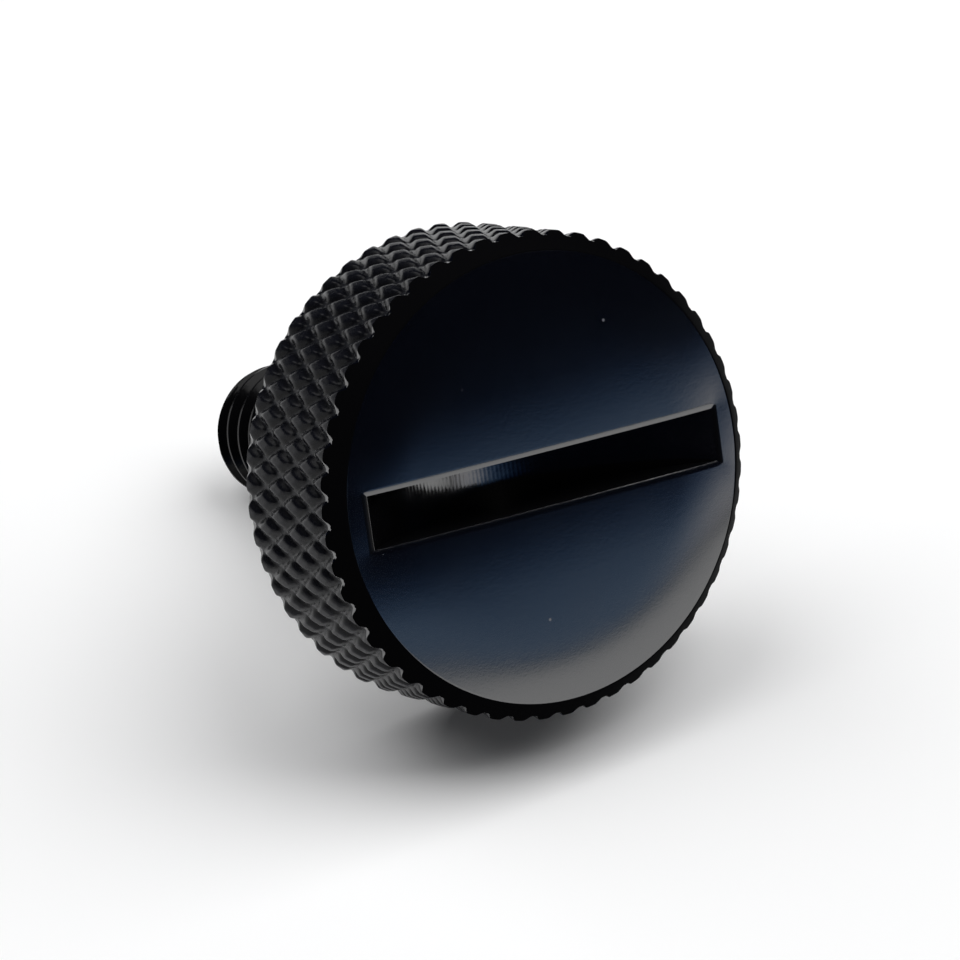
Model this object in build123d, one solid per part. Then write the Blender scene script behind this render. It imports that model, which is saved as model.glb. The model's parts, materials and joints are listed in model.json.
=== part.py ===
from build123d import *
import os
from math import atan2, ceil, cos, degrees, pi, radians, sin, tan

# Thumb screw turned from one bar: a round head with a diamond knurl, a coin slot in its face, and a shank
# for a screw thread. It lies on a table, on the back rim of its head and the tip of its shank.
# Lengths are in millimetres, angles in degrees.

# Head, measured over the lands of its knurl; its face is a shallow dome that falls by the crown at its rim
head_diameter = 20.0
head_thickness = 7.85
front_chamfer = 0.75
back_chamfer = 0.65
face_crown = 0.25

# Diamond knurl: the pitch across its grooves, their angle to the axis, their depth and the angle of their V
knurl_pitch = 1.05
knurl_angle = 25.0
knurl_depth = 0.42
groove_angle = 80.0

# Coin slot: a disc cutter is sunk into the face and leaves a narrow land between the slot's ends and the rim
slot_width = 2.2
slot_depth = 3.4
slot_land = 0.7
slot_edge_break = 0.25
slot_angle = -6.0

# Shank, at the outer diameter of its thread
shank_diameter = 6.0
shank_length = 16.0
shank_end_chamfer = 0.75
shank_root_flare = 0.3

# Radii, and heights along the axis from the underside of the head
head_radius = head_diameter / 2
blank_radius = head_radius + knurl_depth
shank_radius = shank_diameter / 2
face_radius = head_radius - front_chamfer
rim_height = head_thickness - face_crown
land_start = back_chamfer
land_end = rim_height - front_chamfer
tip_depth = shank_length - shank_end_chamfer

# Knurl pattern: whole diamonds round the head, and whole rows of them between the chamfers
knurl_count = round(pi * head_diameter * cos(radians(knurl_angle)) / knurl_pitch)
half_step = pi / knurl_count
ideal_row = head_radius * half_step / tan(radians(knurl_angle))
row_count = round((land_end - land_start) / ideal_row)
row_height = (land_end - land_start) / row_count
root_radius = head_radius - knurl_depth
peak_radius = root_radius + knurl_pitch / 2 / tan(radians(groove_angle / 2))
land_share = max(peak_radius - head_radius, 0) / (peak_radius - root_radius)

# Rest: two lands of the back row and the end of the shank's full diameter touch the table
land_reach = min(peak_radius, head_radius) * cos((1 - land_share) * half_step)
rest_tilt = degrees(atan2(land_reach - shank_radius, tip_depth + land_start))


def turned(outline):
    """A solid turned about the axis from the outline of its half section."""
    return revolve(make_face(Plane.YZ * outline), Axis.Z)


def plain_head():
    """The blank of the head: a domed face, and chamfers that run out past the lands of the knurl."""
    corners = [
        (face_radius, rim_height),
        (blank_radius, land_end - knurl_depth),
        (blank_radius, land_start + knurl_depth),
        (head_radius - back_chamfer, 0),
        (0, 0),
        (0, head_thickness),
    ]
    dome = TangentArc(corners[-1], corners[0], tangent=(1, 0))
    return turned(Polyline(*corners) + dome)


def plain_shank():
    """The shank with its end chamfer, flared where it meets the head."""
    corners = [
        (shank_radius + shank_root_flare, 0),
        (0, 0),
        (0, -shank_length),
        (shank_radius - shank_end_chamfer, -shank_length),
        (shank_radius, -tip_depth),
        (shank_radius, -shank_root_flare),
    ]
    return turned(Polyline(*corners, close=True))


def slotted(head):
    """The head with its slot, which has square ends, an arched floor and a broken edge round its mouth."""
    half_length = face_radius - slot_land
    cutter_radius = (half_length**2 + slot_depth**2) / (2 * slot_depth)
    cutter = Rot(X=90) * Cylinder(cutter_radius, slot_width)
    cut = head - Pos(Z=head_thickness - slot_depth + cutter_radius) * cutter
    upper_edges = cut.edges().filter_by_position(Axis.Z, rim_height, head_thickness)
    mouth = upper_edges.filter_by_position(Axis.Y, -slot_width, slot_width)
    return Rot(Z=slot_angle) * chamfer(mouth, slot_edge_break)


def knurl_point(radius, step, height):
    """A point of the knurl: steps are half diamonds, counted round from beside the lowest line."""
    angle = (step + 1) * half_step - pi / 2
    return Vector(radius * cos(angle), radius * sin(angle), height)


def knurl_ring(row):
    """The points of one row: peaks and groove crossings by turns, changing places from row to row."""
    height = land_start + row * row_height
    radii = (peak_radius, root_radius) if row % 2 == 0 else (root_radius, peak_radius)
    return [knurl_point(radii[step % 2], step, height) for step in range(2 * knurl_count)]


def knurled_rod():
    """A rod with four-sided pyramids all over its side, past the head's ends and higher than its lands."""
    rows_below = ceil(land_start / row_height)
    rows_above = ceil((head_thickness - land_end) / row_height)
    rows = range(-rows_below, row_count + rows_above + 1)
    rings = [knurl_ring(row) for row in rows]
    faces = [Face(Wire.make_polygon(ring)) for ring in (rings[0], rings[-1])]
    for row, low, high in zip(rows, rings, rings[1:]):
        for step in range(2 * knurl_count):
            after = (step + 1) % (2 * knurl_count)
            if (step + row) % 2 == 0:
                triangles = (low[step], low[after], high[step]), (high[after], high[step], low[after])
            else:
                triangles = (low[after], high[after], low[step]), (high[step], low[step], high[after])
            faces += [Face(Wire.make_polygon(corners)) for corners in triangles]
    return Solid(Shell(faces))


def land_prism():
    """A prism with one narrow flat for each step round the head, which levels the pyramids to flat lands."""
    corner_radius = head_radius / cos(half_step / 2)
    corners = [knurl_point(corner_radius, step + 1 / 2, 0) for step in range(2 * knurl_count)]
    return extrude(Face(Wire.make_polygon(corners)), head_thickness)


def laid_down(screw):
    """The screw tipped over to its rest, with its outline's middle over the origin and the table at zero."""
    lying = Rot(X=90 - rest_tilt) * screw
    box = lying.bounding_box()
    return Pos(-box.center().X, -box.center().Y, -box.min.Z) * lying


head = slotted(plain_head()) & (knurled_rod() & land_prism())
thumb_screw = laid_down(head + plain_shank())
thumb_screw.label = "thumb_screw"

os.makedirs("parts", exist_ok=True)
export_step(thumb_screw, "parts/thumb_screw.step")
print(f"{knurl_count} diamonds round, {row_count} rows, rest tilt {rest_tilt:.2f} degrees")
print(f"box {thumb_screw.bounding_box().size}, volume {thumb_screw.volume:.1f}")
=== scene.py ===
"""Black thumb screw with a diamond knurl, a coin slot and a threaded shank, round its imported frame."""
import json
from math import cos, pi, radians, sin

import bpy
import numpy as np
from bpy.props import FloatProperty, FloatVectorProperty, IntProperty, PointerProperty
from bpy.types import Operator, Panel, PropertyGroup
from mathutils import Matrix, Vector


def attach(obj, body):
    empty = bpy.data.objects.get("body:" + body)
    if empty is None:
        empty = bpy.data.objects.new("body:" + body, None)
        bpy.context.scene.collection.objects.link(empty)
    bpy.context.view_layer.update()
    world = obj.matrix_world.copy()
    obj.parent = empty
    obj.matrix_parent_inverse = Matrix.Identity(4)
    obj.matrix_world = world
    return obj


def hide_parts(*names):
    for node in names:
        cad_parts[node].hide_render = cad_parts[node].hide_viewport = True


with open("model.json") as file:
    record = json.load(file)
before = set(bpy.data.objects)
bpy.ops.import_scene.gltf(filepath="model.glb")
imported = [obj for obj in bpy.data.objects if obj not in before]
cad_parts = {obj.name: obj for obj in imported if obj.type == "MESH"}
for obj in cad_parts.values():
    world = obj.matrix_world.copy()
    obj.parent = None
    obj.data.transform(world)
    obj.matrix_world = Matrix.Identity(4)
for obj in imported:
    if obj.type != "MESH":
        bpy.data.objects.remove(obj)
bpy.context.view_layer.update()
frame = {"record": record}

bl_info = {
    "name": "Thumb screw",
    "version": (1, 0, 0),
    "blender": (4, 5, 0),
    "location": "3D View > Sidebar > Thumb screw",
    "description": "Builds a knurled thumb screw with a coin slot, its black finish and a pale stage",
    "category": "Object",
}

MILLIMETRE = 0.001
FINISHES = ("polished_black", "slot_black", "knurled_black", "turned_black", "thread_black")
MOUNTS = {mount["name"]: mount for mount in frame["record"]["mounts"]}

# Columns round a diamond of the knurl, rows up half of it and over its run-outs, columns round the shank
DIAMOND_COLUMNS = 14
HALF_DIAMOND_ROWS = 8
RUN_OUT_ROWS = 3
SHANK_COLUMNS = 108

# Steps across the slot's ends, over the edge of the face, over a lip, down a wall and round the fillet
SLOT_END_STEPS = 12
EDGE_STEPS = 3
LIP_STEPS = 6
WALL_STEPS = 4
FILLET_STEPS = 4

# Rounds of the two searches, for the slot's end and for the line where the knurl breaks out
SLOT_END_ROUNDS = 8
BREAK_OUT_ROUNDS = 12

# Rings of the face from its edge, at 1, to the slot's mouth, at 0
FACE_RINGS = np.array([
    1, 0.988, 0.965, 0.92, 0.85, 0.75, 0.63, 0.5, 0.37, 0.26, 0.17, 0.1, 0.05, 0.02, 0.006, 0,
])

# Rings of the chamfers and of the shank's tip, and rings under the head as multiples of the fillet's radius
BACK_RINGS = np.array([0.0, 0.5, 1.0])
FRONT_RINGS = np.array([0.0, 0.4, 1.0])
TIP_RINGS = np.array([0.0, 0.3, 0.8, 0.97, 1.0])
NEAR_RINGS = np.array([1.0, 1.12])
FAN_RING = 1.35
FAR_RING_COUNT = 4

# The thread's groove over one turn: its corners, their depths, and the rows of the strip that shows it
THREAD_CORNERS = np.array([0, 0.0625, 0.22, 0.36, 0.43, 0.5, 0.57, 0.64, 0.78, 0.9375, 1])
THREAD_SHARES = np.array([0, 0, 0.5, 0.94, 0.99, 1, 0.99, 0.94, 0.5, 0, 0])
THREAD_ROWS = np.array([0, 0.0625, 0.14, 0.22, 0.36, 0.43, 0.5, 0.57, 0.64, 0.78, 0.86, 0.9375, 1])

# Points nearer than the weld are one, and edges sharper than the crease stay sharp
WELD = 1e-7
CREASE = radians(38.0)

# Noise scales of the finishes, in cells to the metre
POLISH_GRAIN = 14000.0
POLISH_MOTTLE = 5500.0
POLISH_CLOUD = 450.0
DUST_CELLS = 700.0
SLOT_CLOUD = 1500.0
KNURL_GRAIN = 6000.0
PLAIN_GRAIN = 7000.0

# Relief of the finishes, in metres
POLISH_RELIEF = 1.0e-6
SLOT_RELIEF = 1.5e-6
KNURL_RELIEF = 2.5e-6
PLAIN_RELIEF = 2.0e-6

# How far noise spreads the roughness of each finish
POLISH_SPREAD = 0.04
SLOT_SPREAD = 0.08
KNURL_SPREAD = 0.12
PLAIN_SPREAD = 0.1

# Dust: the share of cells without a speck, where a speck begins and is full in its cell, and its roughness
DUST_FREE = 0.86
SPECK_RANGE = (0.055, 0.030)
SPECK_ROUGHNESS = 0.3

# Feed marks on the slot's floor: their spacing, how far they waver, and the weights of marks and clouds
FEED_SPACING = 0.2 * MILLIMETRE
FEED_WAVER = 0.06 * MILLIMETRE
MARK_WEIGHT = 0.4
CLOUD_WEIGHT = 3.0

# Depths in a groove between which its bottom turns to the paler groove colour, a painted highlight
GROOVE_HIGHLIGHT_DEPTHS = (0.70, 0.95)

# The room's bluish glow: its turn, elevations and cosines between which it grows, and each channel's power
GLOW_TURN = radians(-60.0)
GLOW_RISE = (radians(8.8), radians(2.0))
GLOW_SIDES = (0.2, 0.85)
GLOW_POWERS = {"Red": 1.6, "Green": 1.3, "Blue": 1.0}

# The room's white side: its turn, and the elevations and cosines between which it grows
PALE_TURN = radians(-38.0)
PALE_RISE = (radians(4.8), radians(1.6))
PALE_SIDES = (0.93, 0.985)

# Turns and elevations of the lamps
LEFT_LAMP = (radians(132.0), radians(60.0))
RIGHT_LAMP = (radians(-22.0), radians(60.0))

# The round table, and the camera's sensor in millimetres and its range in metres
TABLE_RADIUS = 1.5
TABLE_SIDES = 96
SENSOR_WIDTH = 36.0
NEAREST_SEEN = 0.005
FARTHEST_SEEN = 10.0


def length(name, description, millimetres):
    """A length that a user may change, given in millimetres and held in metres."""
    return FloatProperty(
        name=name, description=description, default=millimetres * MILLIMETRE, unit="LENGTH", precision=5
    )


def share(name, description, default):
    """A share between nothing and all."""
    return FloatProperty(
        name=name, description=description, default=default, min=0.0, max=1.0, subtype="FACTOR"
    )


def turn_of(name, description, degrees):
    """An angle that a user may change, given in degrees."""
    return FloatProperty(name=name, description=description, default=radians(degrees), unit="ROTATION")


def index_of(name, description, default):
    """An index of refraction that a user may change."""
    return FloatProperty(name=name, description=description, default=default, min=1.0)


def power_of(name, description, watts):
    """A lamp's power that a user may change."""
    return FloatProperty(name=name, description=description, default=watts, unit="POWER")


def colour(name, description, default):
    """A linear colour that a user may change."""
    return FloatVectorProperty(
        name=name, description=description, default=default, size=3, min=0.0, max=1.0, subtype="COLOR"
    )


class HeadSizes(PropertyGroup):
    """The head, measured over the lands of its knurl."""

    diameter: length("Diameter", "Over the lands of the knurl", 20.0)
    thickness: length("Thickness", "From the underside to the middle of the face", 7.85)
    front_chamfer: length("Front chamfer", "Chamfer between the knurl and the face", 0.75)
    back_chamfer: length("Back chamfer", "Chamfer between the knurl and the underside", 0.65)
    crown: length("Crown", "Fall of the domed face at its edge", 0.25)
    roll: length("Roll", "Part of that fall which lies in a ring beside the edge", 0.11)
    roll_width: length("Roll width", "Width of that ring", 2.9)
    edge_round: length("Edge round", "Rounding of the edge between face and chamfer", 0.05)


class KnurlSizes(PropertyGroup):
    """The diamonds round the head."""

    count: IntProperty(name="Count", description="Diamonds round the head", default=54, min=8)
    rows: IntProperty(name="Rows", description="Half diamonds along the head", default=5, min=1)
    depth: length("Depth", "From the lands to the bottom of the grooves", 0.24)
    land: share("Land", "Share of a diamond that is left as its flat land", 0.46)
    land_round: share("Land round", "Rounding of the land's edges, as a share of the flank", 0.15)
    groove_round: share("Groove round", "Rounding of the grooves, as a share of their depth", 0.08)
    hip_power: FloatProperty(
        name="Hip sharpness",
        description="Higher values give sharper edges on the diamonds",
        default=6.0,
        min=2.0,
    )


class SlotSizes(PropertyGroup):
    """The coin slot, sunk by a disc cutter."""

    width: length("Width", "Between the slot's walls", 2.2)
    depth: length("Depth", "From the face to the middle of the floor", 3.4)
    land: length("Land", "Face left between the slot's ends and the edge of the face", 0.7)
    lip: length("Lip", "Width of the mouth's rounded lips on the face", 0.24)
    lip_slope: turn_of("Lip slope", "Slope of those lips where they end at the walls", 17.0)
    dub_depth: length("Dub depth", "Fall of the polished face towards the mouth", 0.055)
    dub_width: length("Dub width", "Width of that fall", 3.4)
    angle: turn_of("Angle", "Turn of the slot on the face", -6.0)


class ShankSizes(PropertyGroup):
    """The shank and its right-hand thread."""

    diameter: length("Diameter", "Over the thread's crests", 2 * MOUNTS["thread"]["dims"]["r_mm"])
    extent: length("Length", "From the underside of the head to the tip", 16.0)
    pitch: length("Pitch", "Advance of the thread in one turn", 1.0)
    thread_depth: length("Thread depth", "From the crests to the roots", 0.613)
    run_out: length("Run-out", "Length over which the thread fades under the head", 1.0)
    tip_chamfer: length("Tip chamfer", "Chamfer at the end of the shank", 0.75)
    root_fillet: length("Root fillet", "Flare under the head", 0.3)


class FinishSettings(PropertyGroup):
    """The black finish: polished on the face and the slot's floor, dull on the knurl, matt on the front
    chamfer and glossy on the shank."""

    face: colour("Face", "Blue-black of the polished face", (0.0007, 0.0010, 0.0024))
    knurl: colour("Knurl", "Charcoal of the knurled band", (0.0044, 0.0048, 0.0074))
    # Painted highlight: this paler colour along the bottom of the grooves stands in for the light they
    # catch
    groove: colour("Grooves", "Paler lines along the bottom of the grooves", (0.013, 0.0135, 0.016))
    bare: colour("Chamfers and shank", "Black of chamfers, slot and thread", (0.0022, 0.0022, 0.0026))
    speck: colour("Specks", "Pale dust on the face", (0.09, 0.09, 0.10))
    face_roughness: share("Face roughness", "Satin of the face", 0.12)
    slot_roughness: share("Slot roughness", "Gloss of the slot's floor", 0.10)
    knurl_roughness: share("Knurl roughness", "Dullness of the knurl", 0.26)
    turned_roughness: share("Chamfer roughness", "Dullness of the front chamfer", 0.30)
    thread_roughness: share("Thread roughness", "Gloss of the thread", 0.14)
    polished_index: index_of("Polished index", "Refraction of the polish", 2.2)
    knurl_index: index_of("Knurl index", "Refraction of the knurl", 1.19)
    turned_index: index_of("Chamfer index", "Refraction of the front chamfer", 1.02)
    thread_index: index_of("Thread index", "Refraction of the thread", 1.22)


class StageSettings(PropertyGroup):
    """Floor, lights and camera."""

    floor: colour("Floor", "Pale table", (0.90, 0.90, 0.90))
    lift: share("Lift", "Brightening of the table where it is seen or mirrored", 0.03)
    room: colour("Room", "Dark of the room", (0.003, 0.004, 0.008))
    horizon: colour("Horizon", "Bluish light low down on one side of the room", (0.20, 0.31, 0.48))
    pale: colour("Pale side", "White low down on the right of the room", (0.90, 0.90, 0.94))
    left_power: power_of("Left lamp", "Power of the left lamp", 0.97)
    right_power: power_of("Right lamp", "Power of the right lamp", 1.12)
    lamp_size: length("Lamp size", "Side of the square lamps", 345.0)
    lamp_distance: length("Lamp distance", "From the lamps to the screw", 360.0)
    camera_place: FloatVectorProperty(
        name="Camera",
        description="Where the camera stands",
        default=(-0.08636, -0.13179, 0.11467),
        subtype="TRANSLATION",
        unit="LENGTH",
    )
    camera_elevation: turn_of("Elevation", "How steeply the camera looks down", 34.47)
    camera_turn: turn_of("Turn", "Turn of the camera from the Y axis towards X", 34.18)
    camera_lens: FloatProperty(name="Lens", description="Focal length for a 36 mm sensor", default=168.75)


class Signal:
    """One output in a material. Arithmetic on it adds Math nodes."""

    def __init__(self, shading, socket):
        self.shading = shading
        self.socket = socket

    def maths(self, operation, first, second):
        return self.shading.node("ShaderNodeMath", {"operation": operation}, {0: first, 1: second})

    def __add__(self, other):
        return self.maths("ADD", self, other)

    __radd__ = __add__

    def __sub__(self, other):
        return self.maths("SUBTRACT", self, other)

    def __mul__(self, other):
        return self.maths("MULTIPLY", self, other)

    __rmul__ = __mul__

    def above(self, limit):
        """One where the value is over the limit, and zero elsewhere."""
        return self.maths("GREATER_THAN", self, limit)

    def larger(self, other):
        return self.maths("MAXIMUM", self, other)

    def power(self, exponent):
        return self.maths("POWER", self, exponent)

    def smooth(self, start, end):
        """A smooth step from nothing at the start to one at the end."""
        inputs = {"Value": self, "From Min": start, "From Max": end}
        return self.shading.node("ShaderNodeMapRange", {"interpolation_type": "SMOOTHSTEP"}, inputs)


class Shading:
    """A node tree. Its node method adds any node: settings first, then values or links of its inputs."""

    def __init__(self, tree):
        self.tree = tree
        tree.nodes.clear()

    def node(self, kind, settings=None, inputs=None, output=0):
        made = self.tree.nodes.new(kind)
        for name, value in (settings or {}).items():
            setattr(made, name, value)
        for name, value in (inputs or {}).items():
            socket = made.inputs[name]
            if isinstance(value, Signal):
                self.tree.links.new(value.socket, socket)
            else:
                socket.default_value = value
        return Signal(self, made.outputs[output]) if made.outputs else made

    def attribute(self, name, output="Fac"):
        return self.node("ShaderNodeAttribute", {"attribute_name": name}, output=output)

    def place(self):
        """A point's place in the coordinates of its own object."""
        return self.node("ShaderNodeTexCoord", output="Object")

    def noise(self, scale, detail):
        inputs = {"Vector": self.place(), "Scale": scale, "Detail": detail}
        return self.node("ShaderNodeTexNoise", inputs=inputs)

    def blend(self, factor, first, second):
        """A colour that goes from the first to the second as the factor goes from 0 to 1."""
        ends = [end if isinstance(end, Signal) else (*end, 1.0) for end in (first, second)]
        inputs = {0: factor, 6: ends[0], 7: ends[1]}
        return self.node("ShaderNodeMix", {"data_type": "RGBA"}, inputs, output=2)


def polar(radius, angle, height):
    """Points at a radius and angle round the axis and a height along it."""
    return np.stack(np.broadcast_arrays(radius * np.cos(angle), radius * np.sin(angle), height), axis=-1)


def bezier(start, corner, end, steps):
    """Points on the curve that leaves start towards corner and comes to end from it, ends included."""
    t = np.linspace(0.0, 1.0, steps + 1).reshape((-1,) + (1,) * np.broadcast(start, corner, end).ndim)
    return (1 - t) ** 2 * start + 2 * t * (1 - t) * corner + t**2 * end


def grid_triangles(rows, columns, closed, rising):
    """Two triangles for each cell of a grid of points, cut along its rising or its falling diagonal."""
    cells = columns if closed else columns - 1
    row = np.arange(rows - 1)[:, None] * columns
    left = np.arange(cells)[None, :]
    right = (left + 1) % columns
    low_left, low_right = row + left, row + right
    high_left, high_right = low_left + columns, low_right + columns
    rising = np.broadcast_to(rising, low_left.shape)
    first = np.stack([low_left, low_right, np.where(rising, high_right, high_left)], axis=-1)
    second = np.stack([np.where(rising, low_left, low_right), high_right, high_left], axis=-1)
    return np.concatenate([first.reshape(-1, 3), second.reshape(-1, 3)])


def gathering_triangles(coarse, fine):
    """A strip from a ring of few points, which come first, to one of a whole number of times as many."""
    ratio = fine // coarse
    step = np.arange(fine)
    nearest = ((step + ratio // 2) // ratio) % coarse
    fans = np.stack([nearest, coarse + (step + 1) % fine, coarse + step], axis=-1)
    few = np.arange(coarse)
    beyond = coarse + (ratio * few + (ratio + 1) // 2) % fine
    bridges = np.stack([few, (few + 1) % coarse, beyond], axis=-1)
    return np.concatenate([fans, bridges])


class Skin:
    """The screw's surface, gathered from sheets of points and welded where they meet."""

    def __init__(self):
        self.points, self.triangles, self.finishes, self.grooves = [], [], [], []
        self.total = 0

    def add(self, points, triangles, finish, groove=0.0):
        """A sheet with its finish, and how deep it lies in a groove of the knurl, from 0 to 1."""
        self.points.append(points.reshape(-1, 3))
        self.triangles.append(triangles + self.total)
        self.finishes.append(np.full(len(triangles), FINISHES.index(finish)))
        self.grooves.append(np.broadcast_to(groove, points.shape[:-1]).ravel())
        self.total += points[..., 0].size

    def add_grid(self, points, finish, closed=True, rising=True, groove=0.0):
        rows, columns = points.shape[:2]
        self.add(points, grid_triangles(rows, columns, closed, rising), finish, groove)

    def welded(self):
        """Points closer than the weld become one, and triangles that lose a corner by it go."""
        points = np.concatenate(self.points)
        cells = np.round(points / WELD).astype(np.int64)
        _, first, inverse = np.unique(cells, axis=0, return_index=True, return_inverse=True)
        triangles = inverse.reshape(-1)[np.concatenate(self.triangles)]
        whole = (triangles != np.roll(triangles, 1, axis=1)).all(axis=1)
        finishes = np.concatenate(self.finishes)[whole]
        return points[first], triangles[whole], finishes, np.concatenate(self.grooves)[first]


class ScrewShape:
    """The screw in its own frame: its axis is Z, the head's underside is at zero and the face above."""

    def __init__(self, scene):
        self.head, self.knurl = scene.screw_head, scene.screw_knurl
        self.slot, self.shank = scene.screw_slot, scene.screw_shank
        self.columns = self.knurl.count * DIAMOND_COLUMNS
        self.first_angle = -pi / 2 + pi / self.knurl.count
        self.angle = self.first_angle + np.arange(self.columns) * 2 * pi / self.columns
        self.few_angle = self.first_angle + np.arange(SHANK_COLUMNS) * 2 * pi / SHANK_COLUMNS
        self.radius = self.head.diameter / 2
        self.low = self.head.back_chamfer
        self.rim = self.head.thickness - self.head.crown
        self.high = self.rim - self.head.front_chamfer
        self.face_radius = self.radius - self.head.front_chamfer
        self.row_height = (self.high - self.low) / self.knurl.rows
        self.half_width = self.slot.width / 2
        self.side_steps = (self.columns - 2 * SLOT_END_STEPS) // 2
        self.slot_end = self.face_radius - self.slot.land
        self.cutter = (self.slot_end**2 + self.slot.depth**2) / (2 * self.slot.depth)
        self.settle_slot_end()
        self.lip_fall = self.slot.lip / 2 * np.tan(self.slot.lip_slope)
        end_slope = np.arcsin(self.slot_end / self.cutter)
        self.floor_end = self.slot_end - self.lip_fall / np.tan(end_slope)

    def groove_share(self, height):
        """How deep the knurl is, from 0 on a land to 1 in a groove. Round and along the head, counted in
        diamonds, the two grooves are saw-toothed waves of the sum and of the difference. The deeper of them
        wins, what lies under the land's share is cut off, and powers and square roots round the edges and
        the grooves."""
        round_count = np.arange(self.columns) / DIAMOND_COLUMNS
        along_count = (height - self.low) / (2 * self.row_height)
        counts = (round_count + along_count, round_count - along_count)
        waves = [2 * np.abs(count - np.round(count)) for count in counts]
        power = self.knurl.hip_power
        deeper = np.minimum((waves[0] ** power + waves[1] ** power) ** (1 / power), 1.0)
        flank = (deeper - self.knurl.land) / (1 - self.knurl.land)
        flank = (flank + np.sqrt(flank**2 + self.knurl.land_round**2)) / 2
        rounded = 1 - np.sqrt((1 - np.minimum(flank, 1.0)) ** 2 + self.knurl.groove_round**2)
        return np.maximum(rounded, 0.0)

    def break_out(self, edge, way):
        """Where the grooves run out through a chamfer: the height where both are equally deep."""
        height = np.full(self.columns, edge)
        for _ in range(BREAK_OUT_ROUNDS):
            height = edge + way * (self.knurl.depth * self.groove_share(height))
        return height

    def add_side(self, skin):
        """The back chamfer, the knurled band between the two lines where it breaks out, and the front
        chamfer. The band is polished where it runs out through the chamfers."""
        low_line, high_line = self.break_out(self.low, -1), self.break_out(self.high, 1)
        back = BACK_RINGS[:, None] * low_line
        skin.add_grid(polar(self.radius - (self.low - back), self.angle, back), "thread_black")

        steps = self.knurl.rows * HALF_DIAMOND_ROWS
        level = self.low + np.arange(steps + 1)[:, None] * self.row_height / HALF_DIAMOND_ROWS
        part = np.arange(RUN_OUT_ROWS)[:, None] / RUN_OUT_ROWS
        heights = np.concatenate([
            low_line + part * (self.low - low_line),
            np.broadcast_to(level, (steps + 1, self.columns)),
            self.high + (part + 1 / RUN_OUT_ROWS) * (high_line - self.high),
        ])
        last = len(heights) - 1
        block = (np.arange(last)[:, None] - RUN_OUT_ROWS) // HALF_DIAMOND_ROWS
        block = block + np.arange(self.columns)[None, :] // (DIAMOND_COLUMNS // 2)
        groove = self.groove_share(heights)
        band = polar(self.radius - self.knurl.depth * groove, self.angle, heights)
        for start, end, finish in (
            (0, RUN_OUT_ROWS, "polished_black"),
            (RUN_OUT_ROWS, last - RUN_OUT_ROWS, "knurled_black"),
            (last - RUN_OUT_ROWS, last, "polished_black"),
        ):
            rows = slice(start, end + 1)
            skin.add_grid(band[rows], finish, rising=block[start:end] % 2 == 1, groove=groove[rows])

        top = self.rim - self.head.edge_round
        front = high_line + FRONT_RINGS[:, None] * (top - high_line)
        skin.add_grid(polar(self.radius - (front - self.high), self.angle, front), "turned_black")

    def crowned(self, x, y):
        """Height of the face: a dome that falls with the square of the radius, rolled off beside its edge
        and dubbed towards the slot's mouth, both with the square of the nearness."""
        head, slot = self.head, self.slot
        radius = np.hypot(x, y)
        rolled = np.maximum(1 - (self.face_radius - radius) / head.roll_width, 0.0)
        past_end = np.maximum(np.abs(x) - self.slot_end, 0.0)
        past_wall = np.maximum(np.abs(y) - self.half_width, 0.0)
        dubbed = np.maximum(1 - np.hypot(past_end, past_wall) / slot.dub_width, 0.0)
        fall = (head.crown - head.roll) * (radius / self.face_radius) ** 2
        return head.thickness - fall - head.roll * rolled**2 - slot.dub_depth * dubbed**2

    def floor_height(self, x):
        """Height of the slot's floor, an arc left by the disc cutter."""
        middle = self.head.thickness - self.slot.depth + self.cutter
        return middle - np.sqrt(self.cutter**2 - x**2)

    def settle_slot_end(self):
        """Moves the slot's end, by steps along the floor's slope, to where the floor meets the face."""
        for _ in range(SLOT_END_ROUNDS):
            gap = self.floor_height(self.slot_end) - self.crowned(self.slot_end, 0.0)
            self.slot_end -= gap * (self.cutter / self.slot_end)

    def outline(self, margin):
        """The rectangle of the slot's floor, widened by a margin all round. It has as many points as there
        are columns, from the middle of its right end against the clock."""
        end, side = SLOT_END_STEPS, self.side_steps
        corners = np.cumsum([0, end / 2, side, end, side, end / 2])
        step = np.arange(self.columns)
        x = np.interp(step, corners, np.array([1, 1, -1, -1, 1, 1]) * (self.floor_end + margin))
        y = np.interp(step, corners, np.array([0, 1, 1, -1, -1, 0]) * (self.half_width + margin))
        return x, y

    def turned(self, x, y, z):
        """Points of the slot's own frame, turned on to the face."""
        c, s = cos(self.slot.angle), sin(self.slot.angle)
        return np.stack(np.broadcast_arrays(c * x - s * y, s * x + c * y, z), axis=-1)

    def add_face(self, skin):
        """The edge of the face, and its rings from there to the slot's mouth. The rings go over from a
        circle to the mouth's rectangle by straight steps."""
        edge = self.head.edge_round
        inner = self.face_radius - edge
        first = round((self.slot.angle - self.first_angle) / (2 * pi / self.columns))
        spin = np.roll(self.angle - self.slot.angle, -first)
        edge_z = self.crowned(inner * np.cos(spin), inner * np.sin(spin))
        ring = bezier(self.face_radius + edge, self.face_radius, inner, EDGE_STEPS)[:, None]
        x, y = ring * np.cos(spin), ring * np.sin(spin)
        z = bezier(self.rim - edge, self.rim, edge_z, EDGE_STEPS)
        skin.add_grid(self.turned(x, y, z), "turned_black")

        mouth_x, mouth_y = self.outline(self.slot.lip)
        x = mouth_x + FACE_RINGS[:, None] * (x[-1] - mouth_x)
        y = mouth_y + FACE_RINGS[:, None] * (y[-1] - mouth_y)
        skin.add_grid(self.turned(x, y, self.crowned(x, y)), "polished_black")

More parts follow.
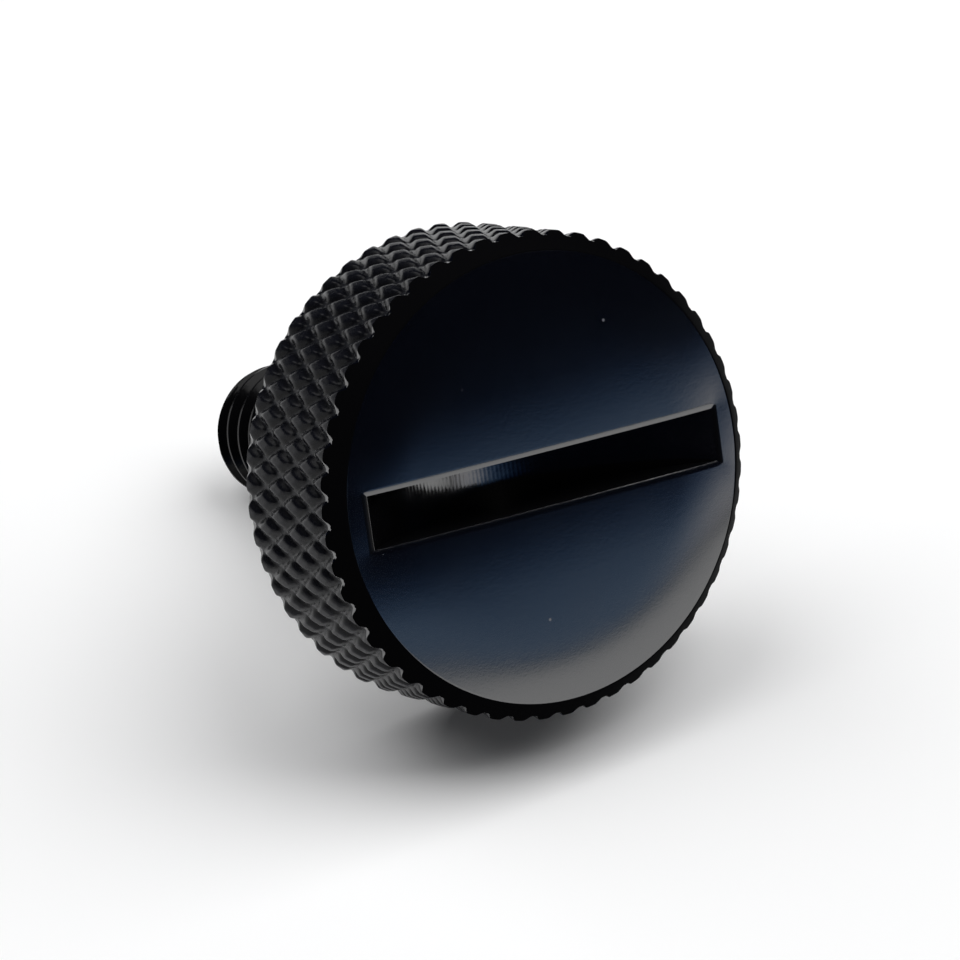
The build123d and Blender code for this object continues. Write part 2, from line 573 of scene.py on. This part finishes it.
    def add_slot(self, skin):
        """The mouth's rounded lips, polished along the walls alone, the slot's walls and its floor."""
        mouth_x, mouth_y = self.outline(self.slot.lip)
        edge_x, edge_y = self.outline(self.slot.lip / 2)
        wall_x, wall_y = self.outline(0.0)
        edge_z = self.crowned(edge_x, edge_y)
        wall_z = np.maximum(edge_z - self.lip_fall, self.floor_height(wall_x))
        curves = (
            (mouth_x, edge_x, wall_x),
            (mouth_y, edge_y, wall_y),
            (self.crowned(mouth_x, mouth_y), edge_z, wall_z),
        )
        lips = self.turned(*[bezier(*curve, LIP_STEPS) for curve in curves])
        end, side = SLOT_END_STEPS, self.side_steps
        upper = end // 2
        lower = upper + side + end
        for start, steps, finish in (
            (upper, side, "polished_black"),
            (upper + side, end, "thread_black"),
            (lower, side, "polished_black"),
            (lower + side, end, "thread_black"),
        ):
            run = np.arange(start, start + steps + 1) % self.columns
            skin.add_grid(lips[:, run], finish, closed=False)

        down = np.linspace(0.0, 1.0, WALL_STEPS + 1)[:, None]
        for start in (upper, lower):
            run = slice(start, start + side + 1)
            z = wall_z[run] + down * (self.floor_height(wall_x[run]) - wall_z[run])
            skin.add_grid(self.turned(wall_x[run], wall_y[run], z), "turned_black", closed=False)
        floor_x = wall_x[upper:upper + side + 1] + np.zeros((end + 1, 1))
        floor_y = np.linspace(1.0, -1.0, end + 1)[:, None] * self.half_width
        floor = self.turned(floor_x, floor_y, self.floor_height(floor_x))
        skin.add_grid(floor, "slot_black", closed=False)

    def add_underside(self, skin):
        """The flat ring under the head, from the fillet's few columns out to the knurl's many."""
        inner = self.shank.diameter / 2 + self.shank.root_fillet
        outer = self.radius - self.low
        near = polar(inner * NEAR_RINGS[:, None], self.few_angle, 0.0)
        skin.add_grid(near, "thread_black")
        ring = polar(inner * FAN_RING, self.angle, 0.0)
        fan = gathering_triangles(SHANK_COLUMNS, self.columns)
        skin.add(np.concatenate([near[-1], ring]), fan, "thread_black")
        far = np.linspace(inner * FAN_RING, outer, FAR_RING_COUNT)[:, None]
        skin.add_grid(polar(far, self.angle, 0.0), "thread_black")

    def thread_radius(self, turn, height):
        """Radius of the thread: flat crests an eighth of the pitch wide, straight flanks and rounded roots,
        fading out under the head and held inside the chamfer at the tip."""
        shank = self.shank
        depth = shank.thread_depth * np.interp(turn, THREAD_CORNERS, THREAD_SHARES)
        fade = np.clip((-height - shank.root_fillet - shank.pitch / 2) / shank.run_out, 0.0, 1.0)
        tip = shank.diameter / 2 - shank.tip_chamfer
        return np.minimum(shank.diameter / 2 - depth * fade, tip + height + shank.extent)

    def add_shank(self, skin):
        """The tip, the thread as one strip wound along its right-hand helix, and the head's fillet."""
        shank = self.shank
        tip = shank.diameter / 2 - shank.tip_chamfer
        skin.add_grid(polar(TIP_RINGS[:, None] * tip, self.few_angle, -shank.extent), "thread_black")

        turn = THREAD_ROWS[:, None]
        turns = int(np.ceil((shank.extent - shank.root_fillet) / shank.pitch)) + 1
        wound = np.arange(turns * SHANK_COLUMNS + 1) / SHANK_COLUMNS
        height = (wound + turn - 1) * shank.pitch - shank.extent
        height = np.clip(height, -shank.extent, -shank.root_fillet)
        strip = polar(self.thread_radius(turn, height), self.first_angle + 2 * pi * wound, height)
        skin.add_grid(strip, "thread_black", closed=False)

        bend = np.linspace(0.0, pi / 2, FILLET_STEPS + 1)[:, None]
        out = shank.root_fillet * (1 - np.cos(bend))
        rise = shank.root_fillet * np.sin(bend)
        flare = polar(shank.diameter / 2 + out, self.few_angle, rise - shank.root_fillet)
        skin.add_grid(flare, "thread_black")


def resting_frame():
    """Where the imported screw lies: the middle of its head's underside, and its own axes."""
    thread, seat = MOUNTS["thread"], MOUNTS["under_head"]
    way = np.array(thread["axis"]) / np.linalg.norm(thread["axis"])
    middle = np.array(thread["pos_m"])
    middle = middle + way * np.dot(np.array(seat["pos_m"]) - middle, way)
    across = np.array([1.0, 0.0, 0.0])
    return middle, np.stack([across, np.cross(-way, across), -way])


def new_shading(name):
    """An empty material and the tree that holds its nodes."""
    material = bpy.data.materials.new(name)
    material.use_nodes = True
    return material, Shading(material.node_tree)


def finished(shading, base, roughness, index, height, relief):
    """The surface of a finish, with a fine relief of the given height in metres."""
    bump = shading.node("ShaderNodeBump", inputs={"Strength": 1.0, "Distance": relief, "Height": height})
    inputs = {"Base Color": base, "Roughness": roughness, "IOR": index, "Normal": bump}
    surface = shading.node("ShaderNodeBsdfPrincipled", inputs=inputs)
    shading.node("ShaderNodeOutputMaterial", inputs={"Surface": surface})


def polished_black(settings):
    """Satin blue-black, with a fine grain, faint clouds in its gloss and a few pale specks of dust."""
    material, shading = new_shading("polished_black")
    grain = shading.noise(POLISH_GRAIN, 2.0)
    mottle = shading.noise(POLISH_MOTTLE, 2.0)
    cloud = shading.noise(POLISH_CLOUD, 4.0)
    dust = {"Vector": shading.place(), "Scale": DUST_CELLS}
    near = shading.node("ShaderNodeTexVoronoi", inputs=dust)
    kind = shading.node("ShaderNodeTexVoronoi", inputs=dust, output="Color")
    chosen = shading.node("ShaderNodeSeparateColor", inputs={"Color": kind}).above(DUST_FREE)
    speck = chosen * near.smooth(*SPECK_RANGE)
    base = shading.blend(speck, settings.face, settings.speck)
    roughness = settings.face_roughness + POLISH_SPREAD * (cloud - 0.5) + SPECK_ROUGHNESS * speck
    finished(shading, base, roughness, settings.polished_index, grain + mottle, POLISH_RELIEF)
    return material


def slot_black(settings):
    """Glossy black with the cutter's feed marks across the floor."""
    material, shading = new_shading("slot_black")
    cloud = shading.noise(SLOT_CLOUD, 3.0)
    lathe = shading.attribute("lathe", "Vector")
    along = shading.node("ShaderNodeSeparateXYZ", inputs={0: lathe}, output=1)
    wave = (along + FEED_WAVER * cloud) * (2 * pi / FEED_SPACING)
    marks = shading.node("ShaderNodeMath", {"operation": "SINE"}, {0: wave})
    roughness = settings.slot_roughness + SLOT_SPREAD * (cloud - 0.5)
    height = MARK_WEIGHT * marks + CLOUD_WEIGHT * cloud
    finished(shading, (*settings.bare, 1.0), roughness, settings.polished_index, height, SLOT_RELIEF)
    return material


def knurled_black(settings):
    """Dull charcoal, with painted shade that darkens the flanks of the diamonds and a painted highlight
    that makes the bottom of the grooves paler.
    """
    material, shading = new_shading("knurled_black")
    grain = shading.noise(KNURL_GRAIN, 4.0)
    groove = shading.attribute("groove")
    # Painted shade: the colour darkens from the charcoal to the bare black as the groove deepens down the
    # flanks
    flank = shading.blend(groove, settings.knurl, settings.bare)
    # Painted highlight: near the bottom of each groove the colour turns to the paler groove colour
    base = shading.blend(groove.smooth(*GROOVE_HIGHLIGHT_DEPTHS), flank, settings.groove)
    roughness = settings.knurl_roughness + KNURL_SPREAD * (grain - 0.5)
    finished(shading, base, roughness, settings.knurl_index, grain, KNURL_RELIEF)
    return material


def plain_black(settings, name, roughness, index):
    """Plain black with a fine grain."""
    material, shading = new_shading(name)
    grain = shading.noise(PLAIN_GRAIN, 3.0)
    roughness = roughness + PLAIN_SPREAD * (grain - 0.5)
    finished(shading, (*settings.bare, 1.0), roughness, index, grain, PLAIN_RELIEF)
    return material


def turned_black(settings):
    """Matt black on the front chamfer, the edge of the face and the slot's walls."""
    return plain_black(settings, "turned_black", settings.turned_roughness, settings.turned_index)


def thread_black(settings):
    """Glossier black on the thread, the underside, the back chamfer and the lips at the slot's ends."""
    return plain_black(settings, "thread_black", settings.thread_roughness, settings.thread_index)


class SCREW_OT_make_screw(Operator):
    """Build the screw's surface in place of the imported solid"""

    bl_idname = "thumb_screw.make_screw"
    bl_label = "Make the screw"

    def execute(self, context):
        shape, skin = ScrewShape(context.scene), Skin()
        shape.add_shank(skin)
        shape.add_underside(skin)
        shape.add_side(skin)
        shape.add_face(skin)
        shape.add_slot(skin)
        own, triangles, finishes, grooves = skin.welded()
        middle, axes = resting_frame()

        mesh = bpy.data.meshes.new("black_screw")
        mesh.from_pydata((middle + own @ axes).tolist(), [], triangles.tolist())
        mesh.polygons.foreach_set("material_index", finishes)
        if mesh.validate():
            raise RuntimeError("the screw's surface has faulty triangles")
        depth = mesh.attributes.new("groove", "FLOAT", "POINT")
        depth.data.foreach_set("value", grooves.astype(np.float32))
        c, s = cos(shape.slot.angle), sin(shape.slot.angle)
        x, y, z = own.T
        lathe = np.stack([np.hypot(x, y), c * x + s * y, z], axis=-1)
        measured = mesh.attributes.new("lathe", "FLOAT_VECTOR", "POINT")
        measured.data.foreach_set("vector", lathe.astype(np.float32).ravel())
        mesh.shade_smooth()
        mesh.set_sharp_from_angle(angle=CREASE)
        for make_finish in (polished_black, slot_black, knurled_black, turned_black, thread_black):
            mesh.materials.append(make_finish(context.scene.screw_finish))

        screw = bpy.data.objects.new("black_screw", mesh)
        context.scene.collection.objects.link(screw)
        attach(screw, "root")
        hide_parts("thumb_screw")
        return {"FINISHED"}


def pale_floor(settings):
    """A pale table that keeps its shadows; what the camera and mirrors see of it is lifted to white."""
    material, shading = new_shading("pale_table")
    plain = shading.node("ShaderNodeBsdfDiffuse", inputs={"Color": (*settings.floor, 1.0)})
    white = {"Color": (1.0, 1.0, 1.0, 1.0), "Strength": settings.lift}
    lift = shading.node("ShaderNodeEmission", inputs=white)
    lifted = shading.node("ShaderNodeAddShader", inputs={0: plain, 1: lift})
    seen = shading.node("ShaderNodeLightPath", output="Is Camera Ray")
    mirrored = shading.node("ShaderNodeLightPath", output="Is Glossy Ray")
    through = shading.node("ShaderNodeLightPath", output="Is Transmission Ray")
    factor = seen.larger(mirrored).larger(through)
    surface = shading.node("ShaderNodeMixShader", inputs={0: factor, 1: plain, 2: lifted})
    shading.node("ShaderNodeOutputMaterial", inputs={"Surface": surface})
    return material


def direction(turn, elevation):
    """The way from the screw to a place, by its turn from X towards Y and its elevation."""
    return np.array([cos(elevation) * cos(turn), cos(elevation) * sin(turn), sin(elevation)])


def add_lamp(scene, name, way, power):
    """A square lamp that shines at the screw from the given way."""
    settings = scene.screw_stage
    light = bpy.data.lights.new(name, "AREA")
    light.energy = power
    light.size = settings.lamp_size
    lamp = bpy.data.objects.new(name, light)
    lamp.location = way * settings.lamp_distance
    lamp.rotation_euler = Vector(way).to_track_quat("Z", "Y").to_euler()
    scene.collection.objects.link(lamp)


def low_glow(shading, way, turn, rise, sides):
    """A glow that grows as a way falls between two elevations and as its cosine to the given turn grows."""
    height = shading.node("ShaderNodeSeparateXYZ", inputs={0: way}, output=2)
    ends = {0: way, 1: tuple(direction(turn, 0.0))}
    facing = shading.node("ShaderNodeVectorMath", {"operation": "DOT_PRODUCT"}, ends, output=1)
    return height.smooth(sin(rise[0]), sin(rise[1])) * facing.smooth(*sides)


def dark_room(settings):
    """A dark room with a bluish glow low on the side that the face mirrors, white at its right."""
    world = bpy.data.worlds.new("room")
    world.use_nodes = True
    shading = Shading(world.node_tree)
    way = shading.node("ShaderNodeTexCoord", output="Generated")
    glow = low_glow(shading, way, GLOW_TURN, GLOW_RISE, GLOW_SIDES)
    channels = zip(GLOW_POWERS.items(), settings.room, settings.horizon)
    low_light = shading.node("ShaderNodeCombineColor", inputs={
        name: dark + bright * glow.power(power) for (name, power), dark, bright in channels
    })
    pale = low_glow(shading, way, PALE_TURN, PALE_RISE, PALE_SIDES)
    light = shading.blend(pale, low_light, settings.pale)
    back = shading.node("ShaderNodeBackground", inputs={"Color": light, "Strength": 1.0})
    shading.node("ShaderNodeOutputWorld", inputs={"Surface": back})
    return world


class SCREW_OT_set_stage(Operator):
    """Set the table, the lamps, the room and the camera"""

    bl_idname = "thumb_screw.set_stage"
    bl_label = "Set the stage"

    def execute(self, context):
        scene, settings = context.scene, context.scene.screw_stage
        rim = polar(TABLE_RADIUS, np.arange(TABLE_SIDES) * 2 * pi / TABLE_SIDES, 0.0)
        mesh = bpy.data.meshes.new("table")
        mesh.from_pydata(rim.tolist(), [], [list(range(TABLE_SIDES))])
        mesh.materials.append(pale_floor(settings))
        table = bpy.data.objects.new("table", mesh)
        scene.collection.objects.link(table)

        add_lamp(scene, "left_lamp", direction(*LEFT_LAMP), settings.left_power)
        add_lamp(scene, "right_lamp", direction(*RIGHT_LAMP), settings.right_power)
        scene.world = dark_room(settings)

        view = bpy.data.cameras.new("camera")
        view.sensor_width = SENSOR_WIDTH
        view.lens = settings.camera_lens
        view.clip_start = NEAREST_SEEN
        view.clip_end = FARTHEST_SEEN
        camera = bpy.data.objects.new("camera", view)
        camera.location = settings.camera_place
        camera.rotation_euler = (pi / 2 - settings.camera_elevation, 0.0, -settings.camera_turn)
        scene.collection.objects.link(camera)
        scene.camera = camera
        scene.view_settings.view_transform = "Standard"
        return {"FINISHED"}


class SCREW_PT_panel(Panel):
    """Sizes, finish and stage of the thumb screw"""

    bl_idname = "SCREW_PT_panel"
    bl_label = "Thumb screw"
    bl_space_type = "VIEW_3D"
    bl_region_type = "UI"
    bl_category = "Thumb screw"

    def draw(self, context):
        for title, name, _ in GROUPS:
            box = self.layout.box()
            box.label(text=title)
            group = getattr(context.scene, name)
            for prop in group.bl_rna.properties:
                if prop.identifier not in {"name", "rna_type"}:
                    box.prop(group, prop.identifier)
        for operator in OPERATORS:
            self.layout.operator(operator.bl_idname)


GROUPS = [
    ("Head", "screw_head", HeadSizes),
    ("Knurl", "screw_knurl", KnurlSizes),
    ("Slot", "screw_slot", SlotSizes),
    ("Shank", "screw_shank", ShankSizes),
    ("Finish", "screw_finish", FinishSettings),
    ("Stage", "screw_stage", StageSettings),
]
OPERATORS = [SCREW_OT_make_screw, SCREW_OT_set_stage]


def register():
    for _, name, group in GROUPS:
        bpy.utils.register_class(group)
        setattr(bpy.types.Scene, name, PointerProperty(type=group))
    for made in [*OPERATORS, SCREW_PT_panel]:
        bpy.utils.register_class(made)


def unregister():
    for made in [SCREW_PT_panel, *reversed(OPERATORS)]:
        bpy.utils.unregister_class(made)
    for _, name, group in reversed(GROUPS):
        delattr(bpy.types.Scene, name)
        bpy.utils.unregister_class(group)


def main():
    register()
    bpy.ops.thumb_screw.make_screw()
    bpy.ops.thumb_screw.set_stage()


if __name__ == "__main__":
    main()
